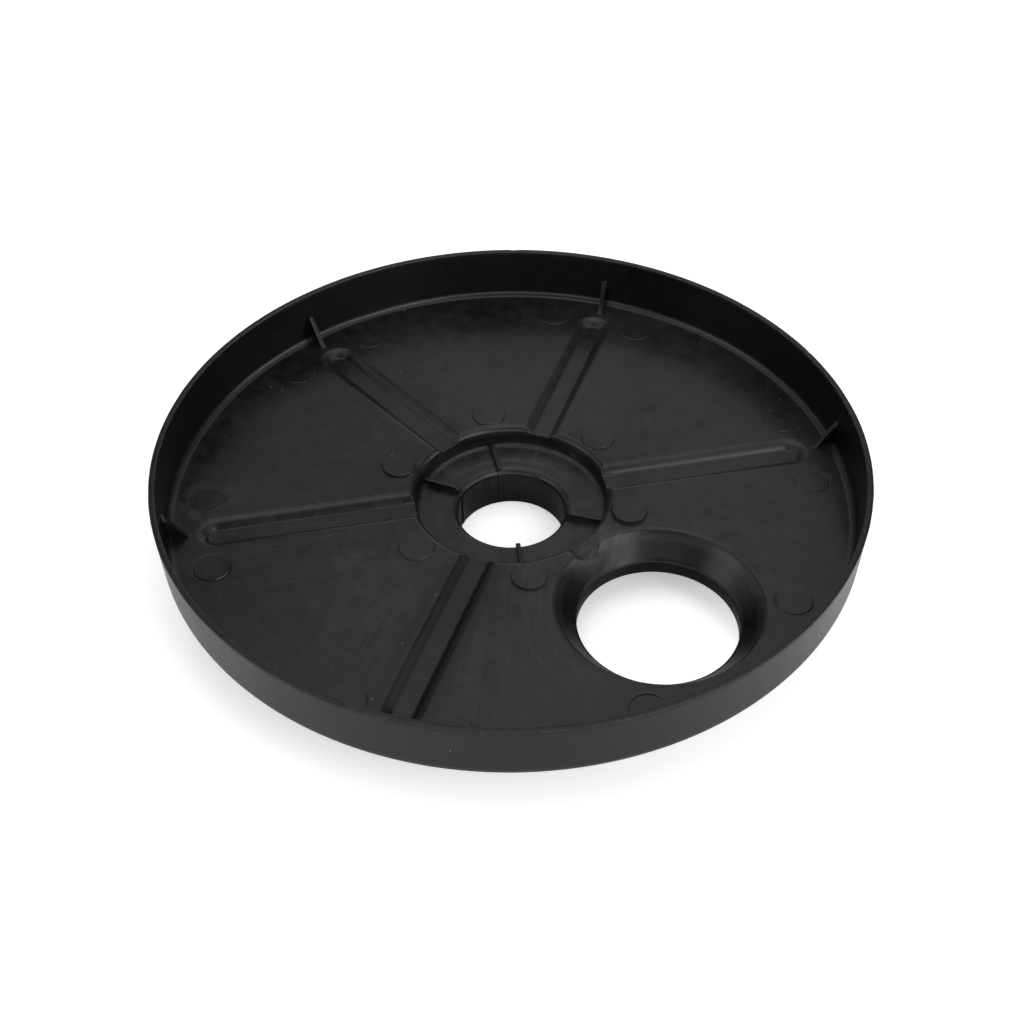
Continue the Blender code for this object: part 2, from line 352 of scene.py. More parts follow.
def flute_points(index, levels, pitch, clear_of_hole):
    """Rows of points along one flute and round its end."""
    turn = radians(FLUTES[index])
    to = SHORT_TO if index == SHORT_FLUTE else FLUTE_TO
    signed = sorted({s * v for v in levels for s in (-1, 1)})
    rows = np.linspace(ROWS_FROM, to, 1 + round((to - ROWS_FROM) / pitch))
    along, across = np.meshgrid(rows, signed)
    parts = [np.stack([along.ravel(), across.ravel()], 1)]
    if index != SHORT_FLUTE:
        for level in levels[1:]:
            n = max(8, int(math.pi * level / 0.9))
            a = np.linspace(-math.pi / 2, math.pi / 2, n + 1)[1:-1]
            parts.append(np.stack([to + level * np.cos(a), level * np.sin(a)], 1))
    local = np.concatenate(parts)
    if index == SHORT_FLUTE:
        local[:, 1] += SHORT_SHIFT
    x = local[:, 0] * math.cos(turn) - local[:, 1] * math.sin(turn)
    y = local[:, 0] * math.sin(turn) + local[:, 1] * math.cos(turn)
    return np.stack([x, y], 1)[from_socket(x, y) > clear_of_hole]


def pin_points():
    """Rings of points on each ejector mark, closest together at its edge."""
    parts = []
    rings = [(0.0, 1), (2.8, 8), (5.2, 16), (6.5, 36)]
    rings += [(radius, 72) for radius in (6.86, 7.02, 7.18, 7.32, 7.43, 7.54, 7.67, 7.95)]
    rings += [(8.5, 36), (9.4, 28)]
    for pin in PINS:
        turn = radians(pin.azimuth)
        centre = (pin.circle * math.cos(turn), pin.circle * math.sin(turn))
        for radius, n in rings:
            parts.append(np.stack(circle(radius, n, centre), 1))
    return np.concatenate(parts)


def background(pitch, lowest, highest, flute_gap, pins, hole_gap):
    """An even spread of points that stays away from flutes, marks and the socket."""
    parts = []
    for r in np.arange(lowest + pitch * 0.6, highest - pitch * 0.4, pitch):
        n = int(math.tau * r / pitch)
        parts.append(np.stack(circle(r, n), 1))
    points = np.concatenate(parts)
    x, y = points.T
    keep = from_socket(x, y) > hole_gap
    for index in range(len(FLUTES)):
        keep &= flute_distance(x, y, index) > flute_gap
    if pins:
        keep &= ~near_pins(points, PIN_CLEAR)
    return points[keep]


def cone_points(radii, steps):
    """Rings of points round the suction socket."""
    centre = (SUCTION_X, SUCTION_Y)
    return np.concatenate([np.stack(circle(r, steps, centre), 1) for r in radii])


def near_pins(points, reach):
    """True where a point lies within reach of an ejector mark's centre."""
    near = np.zeros(len(points), bool)
    for pin in PINS:
        near |= np.hypot(*from_pin(pin, *points.T)) <= reach
    return near


def inside_floor(shell):
    """The inside floor from the hub's edge to the rim's fillet and down the suction taper."""
    lowest = HUB_R + HUB_ROUND
    flute = [0.0, 2.0, 3.2, 3.6, 3.85, 4.05, 4.3, 4.6, 5.0]
    flute += [5.5, 6.0, 6.5, 7.0, 7.6, 8.2, 8.8, 9.3, 10.8]
    cone = [34.6, 36.0, 37.5, 39.0, 40.0, 40.7, 41.1, 41.5, 41.9, 42.3, 42.7, 43.1, 43.6, 44.2]
    parts = [cone_points(cone, CONE_STEPS)]
    for index in range(len(FLUTES)):
        parts.append(flute_points(index, flute, 2.2, CONE_ROWS))
    rows = np.concatenate(parts)
    rows = rows[~near_pins(rows, PIN_ROWS) | (from_socket(*rows.T) < CONE_ROWS)]
    pins = pin_points()
    pins = pins[from_socket(*pins.T) > CONE_ROWS]
    spread = background(3.1, lowest, FILLET_R, 11.6, True, CONE_ROWS + 1.5)
    points = np.concatenate([rows, pins, spread])
    points = inner_region(points, lowest + 0.35, FILLET_R - 0.6, CONE_FOOT_R + 0.4)
    holes = [(lowest, HUB_STEPS, (0.0, 0.0)), (CONE_FOOT_R, CONE_STEPS, (SUCTION_X, SUCTION_Y))]
    shell.floor((FILLET_R, RIM_STEPS, (0.0, 0.0)), holes, points, inside_height)


def underside(shell):
    """The underside from the hub pot to the rim's bend and down the socket's taper."""
    lowest = HUB_R + WALL - HUB_DRAFT + POT_ROUND
    ridge = [0.0, 3.0, 4.6, 5.1, 5.6, 6.4, 7.8, 9.0, 9.5, 10.0, 10.6, 11.6]
    cone = [36.6, 38.5, 40.5, 42.0, 42.8, 43.4, 44.0, 44.8, 46.0]
    parts = [cone_points(cone, 180)]
    for index in range(len(FLUTES)):
        parts.append(flute_points(index, ridge, 3.4, 46.8))
    parts.append(background(4.6, lowest, FILLET_R, 13.4, False, 48.2))
    points = inner_region(np.concatenate(parts), lowest + 0.4, FILLET_R - 0.8, SUCTION_OUT + 0.5)
    holes = [(lowest, HUB_STEPS, (0.0, 0.0)), (SUCTION_OUT, CONE_STEPS, (SUCTION_X, SUCTION_Y))]
    shell.floor((FILLET_R, RIM_STEPS, (0.0, 0.0)), holes, points, under_height)


def arc(centre, radius, start, end, steps):
    """Section points (radius, height) of an arc, angles in degrees."""
    return [
        (centre[0] + radius * math.cos(radians(a)), centre[1] + radius * math.sin(radians(a)))
        for a in np.linspace(start, end, steps + 1)
    ]


def turned_ring(radius, height, steps, centre=(0.0, 0.0)):
    """Closed ring of points at a radius and height, each one number or one for every point."""
    x, y = circle(radius, steps, centre)
    return np.column_stack([x, y, np.broadcast_to(height, x.shape)])


def lip_flash(steps):
    """Small uneven flash and nicks along the lip, as (outwards, upwards) in mm."""
    a = np.arange(steps) * math.tau / steps
    rough = np.random.default_rng(7).normal(size=steps)
    wrapped = np.concatenate([rough[-3:], rough, rough[:3]])
    rough = np.convolve(wrapped, [0.1, 0.2, 0.4, 0.2, 0.1], "same")[3:-3]
    out = 0.03 * rough + 0.03 * np.sin(9 * a + 1.0) * np.sin(23 * a)
    up = 0.025 * rough + 0.02 * np.sin(5 * a + 0.6)
    nick_and_tags = ((89.0, -0.5, 0.5), (263.0, 0.28, 0.8), (247.0, 0.22, 0.6), (285.5, 0.25, 0.7))
    for azimuth, tall, wide in nick_and_tags:
        gap = np.degrees(np.angle(np.exp(1j * (a - radians(azimuth)))))
        up += tall * np.exp(-((gap / wide) ** 2))
    return out, up


def rim(shell):
    """Inside fillet, wall, lip, outside wall and outside bend of the rim."""
    inner = RIM_R - WALL
    foot = (FILLET_R, RIM_FILLET)
    out, up = lip_flash(RIM_STEPS)
    rings = []
    x, y = circle(FILLET_R, RIM_STEPS)
    rings.append(np.column_stack([x, y, inside_height(x, y)]))
    for r, z in arc(foot, RIM_FILLET, -90, 0, 13)[1:]:
        rings.append(turned_ring(r, z, RIM_STEPS))
    wall_at = FILLET_R + RIM_FILLET
    for t in (0.25, 0.5, 0.75, 0.9):
        z = RIM_FILLET + (LIP_Z - RIM_FILLET) * t
        rings.append(turned_ring(wall_at + (inner - wall_at) * t, z, RIM_STEPS))
    edge = LIP_EDGE
    for r, z in arc((inner + edge, LIP_Z - edge), edge, 180, 90, 3):
        rings.append(turned_ring(r, z + up * (z > LIP_Z - edge), RIM_STEPS))
    rings.append(turned_ring(RIM_R - WALL / 2, LIP_Z + up * 0.4, RIM_STEPS))
    for r, z in arc((RIM_R - edge, LIP_Z - edge), edge, 90, 0, 3):
        outwards = out if r > RIM_R - 0.2 else 0.0
        rings.append(turned_ring(r + outwards, z + up * (z > LIP_Z - edge), RIM_STEPS))
    bend_r = RIM_FILLET + WALL
    for t in (0.08, 0.3, 0.55, 0.8):
        z = LIP_Z - edge + (RIM_FILLET - LIP_Z + edge) * t
        rings.append(turned_ring(RIM_R - RIM_DRAFT * (LIP_Z - z) / (LIP_Z - RIM_FILLET), z, RIM_STEPS))
    for r, z in arc(foot, bend_r, 0, -90, 12)[:-1]:
        rings.append(turned_ring(r, z, RIM_STEPS))
    rings.append(np.column_stack([x, y, under_height(x, y)]))
    shell.bands(rings)


def hub(shell):
    """Hub edge, recess, raised ring, bore, collar and the pot on the underside."""
    rings = []
    for a in np.linspace(0, 90, 11):
        drop = HUB_ROUND_DEEP * (1 - math.cos(radians(a)))
        x, y = circle(HUB_R + HUB_ROUND - HUB_ROUND * math.sin(radians(a)), HUB_STEPS)
        height = inside_height(x, y)
        if a > 0:
            rounded = waves(x, y) + pin_steps(x, y) - drop
            height = smooth_min(height, rounded, 0.5 * math.sin(radians(a)))
        rings.append(np.column_stack([x, y, height]))
    moat_r = HUB_R - HUB_DRAFT
    top = rings[-1]
    foot_z = MOAT_Z + MOAT_ROUND
    for t in (0.3, 0.65):
        ring = turned_ring(HUB_R - HUB_DRAFT * t, 0.0, HUB_STEPS)
        ring[:, 2] = top[:, 2] * (1 - t) + foot_z * t
        rings.append(ring)
    section = arc((moat_r - MOAT_ROUND, foot_z), MOAT_ROUND, 0, -90, 6)
    section += [(36.0, MOAT_Z), (RING_R + 0.6, MOAT_Z), (RING_R + 0.2, MOAT_Z - 0.01)]
    section += [(RING_R - 0.1, MOAT_Z - 0.06), (RING_R - 0.5, MOAT_Z - 0.12)]
    section += [(RING_R - 0.9, MOAT_Z - 0.14), (28.6, MOAT_Z - 0.13), (27.4, RING_Z)]
    section += arc((BORE_R + BORE_ROUND, RING_Z - BORE_ROUND), BORE_ROUND, 90, 180, 11)
    section += [(BORE_R, z) for z in (-15.0, -19.0, -23.0)]
    edge = 0.3
    section += arc((BORE_R + edge, COLLAR_Z + edge), edge, 180, 270, 2)
    collar = BORE_R + COLLAR_WALL
    section += arc((collar - edge, COLLAR_Z + edge), edge, 270, 360, 2)
    pot_z = MOAT_Z - WALL
    section += [(collar, -22.0)]
    section += arc((collar + POT_ROUND, pot_z - POT_ROUND), POT_ROUND, 180, 90, 4)
    pot_r = HUB_R + WALL - HUB_DRAFT
    section += [(34.0, pot_z)]
    section += arc((pot_r - POT_ROUND, pot_z + POT_ROUND), POT_ROUND, -90, 0, 5)
    rings += [turned_ring(r, z, HUB_STEPS) for r, z in section]
    low = rings[-1]
    ends = []
    under_edge = under_height(*circle(pot_r + POT_ROUND, HUB_STEPS))
    for a in np.linspace(0, 90, 6):
        drop = POT_ROUND * (1 - math.cos(radians(a)))
        at = pot_r + POT_ROUND - POT_ROUND * math.sin(radians(a))
        ends.append(turned_ring(at, under_edge - drop, HUB_STEPS))
    high = ends[-1]
    middle = low.copy()
    middle[:, 2] = (low[:, 2] + high[:, 2]) / 2
    rings.append(middle)
    shell.bands(rings + ends[::-1])


def socket(shell):
    """Ledge, straight bore, end face and outside of the suction socket."""
    centre = (SUCTION_X, SUCTION_Y)
    x, y = circle(CONE_FOOT_R, CONE_STEPS, centre)
    rings = [np.column_stack([x, y, inside_height(x, y)])]
    foot = float(inside_height(x, y).mean())
    section = [(CONE_FOOT_R - 0.22, foot - 0.18), (CONE_FOOT_R - 0.5, foot - 0.28)]
    section += [(CONE_FOOT_R - 0.72, foot - 0.42), (SUCTION_R + 0.06, foot - 0.75)]
    section += [(SUCTION_R, foot - 1.3), (SUCTION_R, -14.2)]
    edge = 0.3
    section += arc((SUCTION_R + edge, SUCTION_Z + edge), edge, 180, 270, 2)
    section += arc((SUCTION_OUT - edge, SUCTION_Z + edge), edge, 270, 360, 2)
    x, y = circle(SUCTION_OUT, CONE_STEPS, centre)
    last = under_height(x, y)
    section += [(SUCTION_OUT, float(last.mean()) - 2.2), (SUCTION_OUT, float(last.mean()) - 0.8)]
    rings += [turned_ring(r, z, CONE_STEPS, centre) for r, z in section]
    rings.append(np.column_stack([x, y, last]))
    shell.bands(rings)


def plate(shape, outline, thickness, azimuth, edge=0.25):
    """Adds a flat web with softened long edges, standing at an azimuth."""
    turn = Matrix.Rotation(radians(azimuth), 4, "Z")
    middle = np.mean(outline, axis=0)
    outer = np.array(outline, float)
    inward = middle - outer
    inner = outer + inward * (edge / np.maximum(np.linalg.norm(inward, axis=1), 1e-6))[:, None]
    half = thickness / 2
    loops = []
    for ring, at in ((inner, -half), (outer, -half + edge), (outer, half - edge), (inner, half)):
        loops.append([shape.verts.new(turn @ Vector((x, at, z))) for x, z in ring])
    n = len(outline)
    for a, b in zip(loops, loops[1:]):
        for i in range(n):
            shape.faces.new((a[i], a[(i + 1) % n], b[(i + 1) % n], b[i]))
    shape.faces.new(loops[0][::-1])
    shape.faces.new(loops[-1])


def gussets():
    """Triangular webs in the corner of rim and floor, one at each flute."""
    shape = bmesh.new()
    wall = RIM_R - RIM_DRAFT - WALL
    gusset = [(wall - GUSSET_REACH - 1.0, -0.8), (wall - 2.0, -0.8), (wall + 1.3, 3.0)]
    gusset += [(wall + 1.3, GUSSET_Z), (wall - 0.3, GUSSET_Z), (wall - 0.9, GUSSET_Z - 0.5)]
    gusset += [(wall - GUSSET_REACH + 0.9, 0.9), (wall - GUSSET_REACH, 0.15)]
    for azimuth in FLUTES:
        plate(shape, gusset, GUSSET_THICK, azimuth)
    return shape


def web_object(name, shape):
    """Object in the frame from webs that were drawn in millimetres."""
    bmesh.ops.recalc_face_normals(shape, faces=shape.faces)
    shape.transform(Matrix.Translation((0, 0, FLOOR_UP * MM + CAD_LOW[2])) @ Matrix.Scale(MM, 4))
    data = bpy.data.meshes.new(name)
    shape.to_mesh(data)
    shape.free()
    made = bpy.data.objects.new(name, data)
    bpy.context.scene.collection.objects.link(made)
    return made


def hub_ribs():
    """Thin ribs across the hub recess, with a rounded nose over the bore."""
    shape = bmesh.new()
    rib = arc((RIB_INNER + RIB_NOSE, RIB_TOP - RIB_NOSE), RIB_NOSE, 90, 180, 6)
    rib += [(RIB_INNER, RING_Z - BORE_ROUND - 0.8), (HUB_R + 0.7, MOAT_Z - 1.3)]
    rib += [(HUB_R + 0.7, RIB_TOP)]
    for azimuth in HUB_RIBS:
        plate(shape, rib, RIB_THICK, azimuth)
    return shape


def bore_keys():
    """Narrow keys down the bore, one under each rib."""
    shape = bmesh.new()
    key = [(BORE_R - KEY_PROUD, COLLAR_Z + 1.0), (BORE_R + 0.8, COLLAR_Z + 1.0)]
    key += [(RIB_INNER + 0.5, RING_Z - BORE_ROUND), (RIB_INNER + 0.5, RING_Z)]
    key += [(RIB_INNER - 0.5, RING_Z - 0.8), (BORE_R - KEY_PROUD, RING_Z - BORE_ROUND)]
    for azimuth in HUB_RIBS:
        plate(shape, key, KEY_WIDTH, azimuth, 0.12)
    return shape


def moulding():
    """The whole deck as one closed mesh."""
    shell = Shell()
    inside_floor(shell)
    underside(shell)
    rim(shell)
    hub(shell)
    socket(shell)
    body = bpy.data.objects.new("deck", shell.mesh("deck"))
    bpy.context.scene.collection.objects.link(body)
    for name, shape in (("gussets", gussets()), ("ribs", hub_ribs()), ("keys", bore_keys())):
        other = web_object(name, shape)
        join = body.modifiers.new(name, "BOOLEAN")
        join.operation = "UNION"
        join.solver = "MANIFOLD"
        join.object = other
        graph = bpy.context.evaluated_depsgraph_get()
        data = bpy.data.meshes.new_from_object(body.evaluated_get(graph), depsgraph=graph)
        body.modifiers.clear()
        body.data = data
        bpy.data.objects.remove(other)
    body.data.shade_smooth()
    body.data.set_sharp_from_angle(angle=radians(50))
    return body


class Nodes:
    """Short ways to add and join shader nodes of one material."""

    def __init__(self, material):
        material.use_nodes = True
        self.tree = material.node_tree
        self.shader = self.tree.nodes["Principled BSDF"]
        self.at = self.add("TexCoord").outputs["Object"]

    def add(self, kind, **settings):
        node = self.tree.nodes.new("ShaderNode" + kind)
        for key, value in settings.items():
            setattr(node, key, value)
        return node

    def join(self, source, socket):
        """Links an output to a socket, or sets the socket to a fixed value."""
        if hasattr(source, "links"):
            self.tree.links.new(source, socket)
        else:
            socket.default_value = source

    def maths(self, operation, a, b=0.0):
        node = self.add("Math", operation=operation)
        self.join(a, node.inputs[0])
        self.join(b, node.inputs[1])
        return node.outputs[0]

    def vector(self, operation, a, b):
        node = self.add("VectorMath", operation=operation)
        self.join(a, node.inputs[0])
        self.join(b, node.inputs["Scale"] if operation == "SCALE" else node.inputs[1])
        gives_number = operation in ("LENGTH", "DISTANCE", "DOT_PRODUCT")
        return node.outputs["Value" if gives_number else "Vector"]

    def product(self, *values):
        total = values[0]
        for value in values[1:]:
            total = self.maths("MULTIPLY", total, value)
        return total

    def weighted(self, *pairs):
        """Sum of values, each times its own amount."""
        total = self.maths("MULTIPLY", *pairs[0])
        for value, amount in pairs[1:]:
            total = self.maths("ADD", total, self.maths("MULTIPLY", value, amount))
        return total

    def ramp(self, value, low, high, to_low=0.0, to_high=1.0):
        """Smooth step between two values, clamped."""
        node = self.add("MapRange", interpolation_type="SMOOTHSTEP")
        for socket, number in zip(node.inputs[:5], (value, low, high, to_low, to_high)):
            self.join(number, socket)
        return node.outputs[0]

    def noise(self, vector, scale, detail=2.0, rough=0.5):
        node = self.add("TexNoise")
        self.join(vector, node.inputs["Vector"])
        node.inputs["Scale"].default_value = scale
        node.inputs["Detail"].default_value = detail
        node.inputs["Roughness"].default_value = rough
        return node.outputs["Fac"]

    def stretch(self, turn, scale):
        """Object coordinates turned about +Z and scaled unevenly, for streaks."""
        node = self.add("Mapping", vector_type="TEXTURE")
        self.join(self.at, node.inputs["Vector"])
        node.inputs["Rotation"].default_value = (0, 0, radians(turn))
        node.inputs["Scale"].default_value = [1 / number for number in scale]
        return node.outputs["Vector"]

    def around(self, centre, across, along):
        """Coordinates for streaks round a centre: radial if across is large, rings if along is."""
        flat = self.vector("MULTIPLY", self.vector("SUBTRACT", self.at, centre), (1, 1, 0))
        way = self.vector("SCALE", self.vector("NORMALIZE", flat, (0, 0, 0)), across)
        rise = self.add("CombineXYZ")
        length = self.vector("LENGTH", flat, (0, 0, 0))
        self.join(self.maths("MULTIPLY", length, along), rise.inputs["Z"])
        return self.vector("ADD", way, rise.outputs[0])

    def out_from(self, centre):
        """Distance in plan from a vertical line."""
        return self.vector("DISTANCE", self.vector("MULTIPLY", self.at, (1, 1, 0)), centre)

    def within(self, centre, radius, fade):
        """1 inside a radius of a point, fading to 0."""
        return self.ramp(self.vector("DISTANCE", self.at, centre), radius + fade, radius)

    def beside(self, azimuth, near, far, fade):
        """1 between two distances on either side of a line through the axis, fading to 0."""
        turn = radians(azimuth)
        side = self.vector("DOT_PRODUCT", self.at, (-math.sin(turn), math.cos(turn), 0))
        side = self.maths("ABSOLUTE", side)
        along = self.vector("DOT_PRODUCT", self.at, (math.cos(turn), math.sin(turn), 0))
        return self.product(
            self.ramp(side, near - fade, near),
            self.ramp(side, far + fade, far),
            self.ramp(along, 0.040, 0.055),
        )

    def colour_mix(self, factor, a, b):
        node = self.add("Mix", data_type="RGBA")
        self.join(factor, node.inputs["Factor"])
        self.join(a, node.inputs["A"])
        self.join(b, node.inputs["B"])
        return node.outputs["Result"]


def on_floor(azimuth, radius, height=0.0, centre=(0.0, 0.0)):
    """World point, in metres, at a height above the inside floor."""
    x = centre[0] + radius * math.cos(radians(azimuth))
    y = centre[1] + radius * math.sin(radians(azimuth))
    return (x * MM, y * MM, (FLOOR_UP + height) * MM + CAD_LOW[2])


def streak_groups(n):
    """Flow marks and rub marks, each a patch of stretched noise: lighter film on the plastic."""
    hole = (SUCTION_X * MM, SUCTION_Y * MM, 0.0)
    radial = n.product(
        n.ramp(n.noise(n.around((0, 0, 0), 62.0, 16.0), 1.0, 3.0), 0.40, 0.76),
        n.ramp(n.noise(n.at, 26.0, 2.0), 0.40, 0.62),
    )
    from_hole = n.out_from(hole)
    swirl = n.product(
        n.ramp(n.noise(n.around(hole, 2.2, 520.0), 1.0, 2.0), 0.45, 0.66),
        n.ramp(from_hole, 0.041, 0.044),
        n.ramp(from_hole, 0.074, 0.052),
        n.within(on_floor(285.0, 78.0), 0.030, 0.022),
    )
    below = n.product(
        n.ramp(n.noise(n.stretch(FLUTES[3] + 1.5, (9, 560, 9)), 1.0, 1.5), 0.46, 0.66),
        n.within(on_floor(203.0, 92.0), 0.016, 0.022),
    )
    along = n.product(
        n.ramp(n.noise(n.stretch(FLUTES[4] - 2.0, (12, 420, 12)), 1.0, 2.0), 0.44, 0.66),
        n.within(on_floor(241.0, 96.0), 0.018, 0.026),
    )
    beyond = n.product(
        n.ramp(n.noise(n.stretch(FLUTES[4] + 12.0, (14, 330, 14)), 1.0, 2.0), 0.46, 0.68),
        n.within(on_floor(262.0, 104.0), 0.016, 0.022),
    )
    arcs = n.product(
        n.ramp(n.noise(n.around(on_floor(232.0, 20.0), 1.8, 300.0), 1.0, 2.5), 0.47, 0.68),
        n.within(on_floor(218.0, 104.0), 0.030, 0.030),
    )
    from_mark = n.vector("DISTANCE", n.at, on_floor(FLUTES[3] - PIN_TURN, OUTER_PINS))
    halo = n.product(
        n.ramp(from_mark, 0.0072, 0.0082),
        n.ramp(from_mark, 0.0150, 0.0105),
        n.ramp(n.noise(n.at, 170.0, 2.0), 0.42, 0.55),
    )
    marks = ((swirl, 1.5), (below, 1.4), (along, 1.5), (beyond, 1.4), (arcs, 0.7), (halo, 2.0))
    return n.weighted((radial, 1.0), *marks)


def scratches(n):
    """Thin hairline scratches in three directions, in patches."""
    hairs = []
    for turn, seed in ((24.0, 3.0), (-37.0, 9.0), (81.0, 15.0)):
        lines = n.vector("ADD", n.stretch(turn, (40, 1300, 40)), (seed, seed, seed))
        patch = n.noise(n.vector("ADD", n.at, (seed, 0, 0)), 30.0, 0.0)
        hair = n.product(n.ramp(n.noise(lines, 1.0, 0.0), 0.70, 0.78), n.ramp(patch, 0.56, 0.68))
        hairs.append((hair, 1.0))
    return n.weighted(*hairs)


def flecks(n):
    """Small pale chips at their own places on the floor, in the recess and in the bore."""
    total = 0.0
    for azimuth, radius, height, size in FLECKS:
        spot = n.within(on_floor(azimuth, radius, height), size * MM * 0.2, size * MM * 0.9)
        total = n.maths("MAXIMUM", total, spot)
    return n.product(total, n.ramp(n.noise(n.at, 1900.0, 2.0), 0.40, 0.62))


def specks(n):
    """Sparse dust and nicks, under half a millimetre across."""
    cells = n.add("TexVoronoi")
    n.join(n.at, cells.inputs["Vector"])
    cells.inputs["Scale"].default_value = 95
    dot = n.ramp(cells.outputs["Distance"], 0.050, 0.024)
    pick = n.add("SeparateColor")
    n.join(cells.outputs["Color"], pick.inputs[0])
    return n.product(dot, n.ramp(pick.outputs[0], 0.80, 0.95))


def lip_wear(n, height, out):
    """Pale, unevenly worn edges of the lip."""
    lip = n.ramp(height, CAD_HIGH[2] - 0.0009, CAD_HIGH[2] - 0.0002)
    off_middle = n.maths("ABSOLUTE", n.maths("SUBTRACT", out, (RIM_R - WALL / 2) * MM))
    edge = n.ramp(off_middle, 0.0007, 0.0013, 0.15, 1.0)
    chips = n.ramp(n.noise(n.around((0, 0, 0), 48.0, 300.0), 1.0, 3.0), 0.42, 0.70)
    return n.product(lip, edge, n.maths("ADD", n.maths("MULTIPLY", chips, 0.8), 0.3))


def film_level(n, height, out):
    """Where the film lies: full on the floor and in the flutes, and half as much again in the hub's
    recess, which makes the recess paler.
    """
    floor_z = on_floor(0.0, 0.0)[2]
    below_wall = n.ramp(height, floor_z + 0.003, floor_z + 0.001)
    in_flutes = n.ramp(height, floor_z - 0.0042, floor_z - 0.0032, 0.15, 1.0)
    recess = n.product(
        n.ramp(out, 0.0425, 0.0405, 0.0, 1.5),
        n.ramp(height, floor_z - 0.0075, floor_z - 0.0088, 0.1, 1.0),
    )
    return n.product(below_wall, n.maths("MAXIMUM", in_flutes, recess))


def black_plastic():
    """Black injection-moulded plastic, semi-gloss, with a worn and slightly dusty skin, and painted
    light: paler on the right, a painted highlight on the suction taper, painted shade on one flute's
    walls.
    """
    material = bpy.data.materials.new("black_plastic")
    n = Nodes(material)
    n.shader.inputs["Specular IOR Level"].default_value = 0.25
    apart = n.add("SeparateXYZ")
    n.join(n.at, apart.inputs[0])
    height = apart.outputs["Z"]
    out = n.out_from((0, 0, 0))

    haze = n.ramp(n.noise(n.at, 24.0, 6.0, 0.62), 0.36, 0.66)
    mottle = n.ramp(n.noise(n.at, 150.0, 4.0, 0.6), 0.34, 0.70)
    streaks = streak_groups(n)
    dust = specks(n)
    worn = lip_wear(n, height, out)
    # A pale blotchy patch on the suction taper: a painted highlight, with rougher scuffing.
    highlit_scuff_middle = on_floor(HIGHLIT_SCUFF_AZ, HIGHLIT_SCUFF_R, HIGHLIT_SCUFF_Z, (SUCTION_X, SUCTION_Y))
    scuffed_and_highlit = n.within(highlit_scuff_middle, 0.009, 0.009)
    blotch = n.ramp(n.noise(n.stretch(60.0, (150, 420, 150)), 1.0, 3.0), 0.34, 0.74)
    # Film grows towards the right side of the part, painting it paler: painted light.
    across_to_right = n.maths("ADD", apart.outputs["X"], n.maths("MULTIPLY", n.noise(n.at, 14.0, 2.0), 0.06))
    painted_light_right = n.ramp(across_to_right, -0.07, 0.13)
    # Less film on the sloping walls of one flute, painting them darker: painted shade.
    painted_shade_flute_walls = n.maths("MULTIPLY", n.beside(FLUTES[4], 0.0048, 0.0100, 0.0050), 0.8)

    film_and_painted_light = n.weighted(
        (haze, 0.0030),
        (mottle, 0.0034),
        (streaks, 0.0028),
        (scratches(n), 0.0040),
        (painted_light_right, 0.0050),
    )
    film_and_painted_light = n.product(film_and_painted_light, n.maths("SUBTRACT", 1.0, painted_shade_flute_walls), film_level(n, height, out))
    marks = n.weighted(
        (mottle, 0.0006),
        (n.product(scuffed_and_highlit, blotch), 0.016),
        (worn, 0.018),
        (flecks(n), 0.060),
    )
    film_and_painted_light = n.maths("ADD", film_and_painted_light, marks)
    # Pale film colour: dust, and also painted light and shade where the painted marks move the film.
    bare, dust_and_painted_light, rusty = (0.0018, 0.0018, 0.0019, 1), (0.2, 0.2, 0.202, 1), (0.40, 0.11, 0.02, 1)
    shade = n.colour_mix(n.maths("MULTIPLY", film_and_painted_light, 5.0), bare, dust_and_painted_light)
    shade = n.colour_mix(dust, shade, (0.16, 0.16, 0.16, 1))
    spot = n.within(on_floor(25.0, RIM_R, LIP_Z), 0.0005, 0.0009)
    rust = n.product(spot, n.ramp(n.noise(n.at, 900.0, 2.0), 0.35, 0.5))
    n.join(n.colour_mix(rust, shade, rusty), n.shader.inputs["Base Color"])

    floor_z = on_floor(0.0, 0.0)[2]
    corner = n.product(
        n.ramp(out, 0.0385, 0.0400),
        n.ramp(out, 0.0425, 0.0412),
        n.ramp(height, floor_z - 0.005, floor_z - 0.007),
    )
    rough = n.weighted(
        (haze, 0.05),
        (mottle, 0.03),
        (streaks, 0.03),
        (dust, 0.25),
        (worn, 0.12),
        (corner, 0.14),
        (scuffed_and_highlit, 0.03),
    )
    n.join(n.maths("ADD", rough, 0.235), n.shader.inputs["Roughness"])

    grain = n.noise(n.at, 1300.0, 3.0)
    ripple = n.noise(n.at, 95.0, 3.0, 0.55)
    bump = n.add("Bump")
    bump.inputs["Strength"].default_value = 1.0
    bump.inputs["Distance"].default_value = 0.00005
    n.join(n.weighted((grain, 0.10), (ripple, 0.55)), bump.inputs["Height"])
    n.join(bump.outputs["Normal"], n.shader.inputs["Normal"])
    return material


